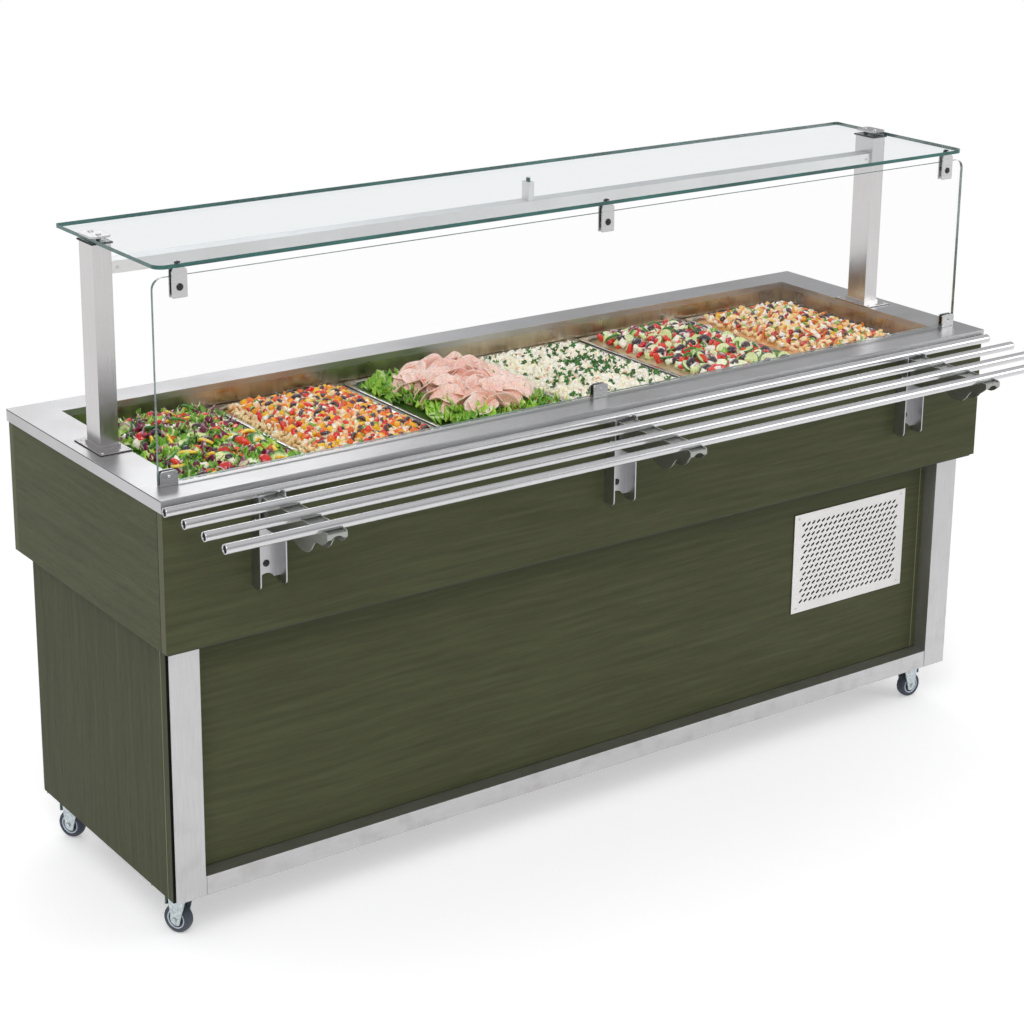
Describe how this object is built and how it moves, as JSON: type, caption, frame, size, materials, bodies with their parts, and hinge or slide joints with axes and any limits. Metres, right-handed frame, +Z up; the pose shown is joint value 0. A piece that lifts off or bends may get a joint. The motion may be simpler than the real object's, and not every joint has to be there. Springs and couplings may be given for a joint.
{
  "type": "mobile salad bar",
  "caption": "Refrigerated salad bar on braked casters: chilled well with lift-out food pans, glass guard with lamp beam, fold-down tray slide, laminate-clad steel cabinet.",
  "frame": {"origin": "centre of the bounding box on the floor", "axes": "+X along the length, to the right seen from the customer side; customer side and tray slide towards -Y; +Z up"},
  "size_m": [2.2, 0.968, 1.4175],
  "materials": {
    "stainless": "brushed",
    "steel_top": "fine brushed",
    "tub": "foam core between brushed steel skins",
    "bright_steel": "bright brushed tube",
    "laminate": "dark olive wood-grain laminate on board",
    "glass": "clear toughened glass with green edges",
    "zinc": "zinc plated pressed steel",
    "tyre": "grey rubber",
    "pedal": "satin painted pressing",
    "black": "matt",
    "painted": "matt black paint",
    "aluminium": "mill finish",
    "diffuser": "opal"
  },
  "bodies": {
    "cabinet": {"counter_top": "steel_top", "well_liner": "tub", "pan_support_grid": "stainless", "upper_panel_front": "laminate", "upper_panel_rear": "laminate", "upper_panel_left": "laminate", "upper_panel_right": "laminate", "lower_panel_front": "laminate", "lower_panel_rear": "laminate", "lower_panel_left": "laminate", "lower_panel_right": "laminate", "base_frame": "stainless", "intake_grille": "stainless", "compressor": "painted", "condenser": "aluminium", "control_panel": "black", "post_left": "stainless", "post_right": "stainless", "post_cap_left": "stainless", "post_cap_right": "stainless", "lamp_beam": "stainless", "lamp_diffuser": "diffuser", "top_glass": "glass", "front_glass": "glass", "top_clip_1": "stainless", "top_clip_2": "stainless", "top_clip_3": "stainless", "bottom_clip_1": "stainless", "bottom_clip_2": "stainless", "bottom_clip_3": "stainless", "fixed_rail": "bright_steel", "tray_channel_1": "stainless", "tray_channel_2": "stainless", "tray_channel_3": "stainless"},
    "tray_slide": {"tray_arm_1": "stainless", "tray_arm_2": "stainless", "tray_arm_3": "stainless", "tray_rail_1": "bright_steel", "tray_rail_2": "bright_steel", "tray_rail_3": "bright_steel"},
    "fan": {"condenser_fan": "black"},
    "switch": {"power_switch": "black"},
    "pan_1": {"pan_1": "stainless"},
    "pan_2": {"pan_2": "stainless"},
    "pan_3": {"pan_3": "stainless"},
    "pan_4": {"pan_4": "stainless"},
    "pan_5": {"pan_5": "stainless"},
    "pan_6": {"pan_6": "stainless"},
    "caster_front_left_fork": {"caster_front_left_fork": "zinc"},
    "caster_front_left_wheel": {"caster_front_left_wheel": "tyre"},
    "caster_front_left_pedal": {"caster_front_left_pedal": "pedal"},
    "caster_rear_left_fork": {"caster_rear_left_fork": "zinc"},
    "caster_rear_left_wheel": {"caster_rear_left_wheel": "tyre"},
    "caster_rear_left_pedal": {"caster_rear_left_pedal": "pedal"},
    "caster_front_right_fork": {"caster_front_right_fork": "zinc"},
    "caster_front_right_wheel": {"caster_front_right_wheel": "tyre"},
    "caster_front_right_pedal": {"caster_front_right_pedal": "pedal"},
    "caster_rear_right_fork": {"caster_rear_right_fork": "zinc"},
    "caster_rear_right_wheel": {"caster_rear_right_wheel": "tyre"},
    "caster_rear_right_pedal": {"caster_rear_right_pedal": "pedal"}
  },
  "joints": [
    {"name": "tray_slide_fold", "type": "hinge", "parent": "cabinet", "child": "tray_slide", "pos_m": [0, -0.23, 0.904], "axis": [1, 0, 0], "range_deg": [0, 90]},
    {"name": "pan_1_lift", "type": "slide", "parent": "cabinet", "child": "pan_1", "axis": [0, 0, 1], "range_m": [0, 0.2]},
    {"name": "pan_2_lift", "type": "slide", "parent": "cabinet", "child": "pan_2", "axis": [0, 0, 1], "range_m": [0, 0.2]},
    {"name": "pan_3_lift", "type": "slide", "parent": "cabinet", "child": "pan_3", "axis": [0, 0, 1], "range_m": [0, 0.2]},
    {"name": "pan_4_lift", "type": "slide", "parent": "cabinet", "child": "pan_4", "axis": [0, 0, 1], "range_m": [0, 0.2]},
    {"name": "pan_5_lift", "type": "slide", "parent": "cabinet", "child": "pan_5", "axis": [0, 0, 1], "range_m": [0, 0.2]},
    {"name": "pan_6_lift", "type": "slide", "parent": "cabinet", "child": "pan_6", "axis": [0, 0, 1], "range_m": [0, 0.2]},
    {"name": "fan_spin", "type": "hinge", "parent": "cabinet", "child": "fan", "pos_m": [0.764, 0, 0.2883], "axis": [0, 1, 0], "continuous": true},
    {"name": "switch_rock", "type": "hinge", "parent": "cabinet", "child": "switch", "pos_m": [0.706, 0.4283, 0.516], "axis": [1, 0, 0], "range_deg": [-6, 0]},
    {"name": "caster_front_left_swivel", "type": "hinge", "parent": "cabinet", "child": "caster_front_left_fork", "pos_m": [-1.027, -0.102, 0.106], "axis": [0, 0, 1], "continuous": true},
    {"name": "caster_front_left_roll", "type": "hinge", "parent": "caster_front_left_fork", "child": "caster_front_left_wheel", "pos_m": [-1.03051, -0.09481, 0.031], "axis": [-0.8988, -0.4384, 0], "continuous": true},
    {"name": "caster_front_left_brake", "type": "hinge", "parent": "caster_front_left_fork", "child": "caster_front_left_pedal", "pos_m": [-1.04103, -0.07324, 0.098], "axis": [-0.8988, -0.4384, 0], "range_deg": [0, 16]},
    {"name": "caster_rear_left_swivel", "type": "hinge", "parent": "cabinet", "child": "caster_rear_left_fork", "pos_m": [-1.027, 0.396, 0.106], "axis": [0, 0, 1], "continuous": true},
    {"name": "caster_rear_left_roll", "type": "hinge", "parent": "caster_rear_left_fork", "child": "caster_rear_left_wheel", "pos_m": [-1.03051, 0.40319, 0.031], "axis": [-0.8988, -0.4384, 0], "continuous": true},
    {"name": "caster_rear_left_brake", "type": "hinge", "parent": "caster_rear_left_fork", "child": "caster_rear_left_pedal", "pos_m": [-1.04103, 0.42476, 0.098], "axis": [-0.8988, -0.4384, 0], "range_deg": [0, 16]},
    {"name": "caster_front_right_swivel", "type": "hinge", "parent": "cabinet", "child": "caster_front_right_fork", "pos_m": [1.027, -0.102, 0.106], "axis": [0, 0, 1], "continuous": true},
    {"name": "caster_front_right_roll", "type": "hinge", "parent": "caster_front_right_fork", "child": "caster_front_right_wheel", "pos_m": [1.035, -0.102, 0.031], "axis": [0, 1, 0], "continuous": true},
    {"name": "caster_front_right_brake", "type": "hinge", "parent": "caster_front_right_fork", "child": "caster_front_right_pedal", "pos_m": [1.059, -0.102, 0.098], "axis": [0, 1, 0], "range_deg": [0, 16]},
    {"name": "caster_rear_right_swivel", "type": "hinge", "parent": "cabinet", "child": "caster_rear_right_fork", "pos_m": [1.027, 0.396, 0.106], "axis": [0, 0, 1], "continuous": true},
    {"name": "caster_rear_right_roll", "type": "hinge", "parent": "caster_rear_right_fork", "child": "caster_rear_right_wheel", "pos_m": [1.03431, 0.39925, 0.031], "axis": [-0.4067, 0.9135, 0], "continuous": true},
    {"name": "caster_rear_right_brake", "type": "hinge", "parent": "caster_rear_right_fork", "child": "caster_rear_right_pedal", "pos_m": [1.05623, 0.40902, 0.098], "axis": [-0.4067, 0.9135, 0], "range_deg": [0, 16]}
  ]
}
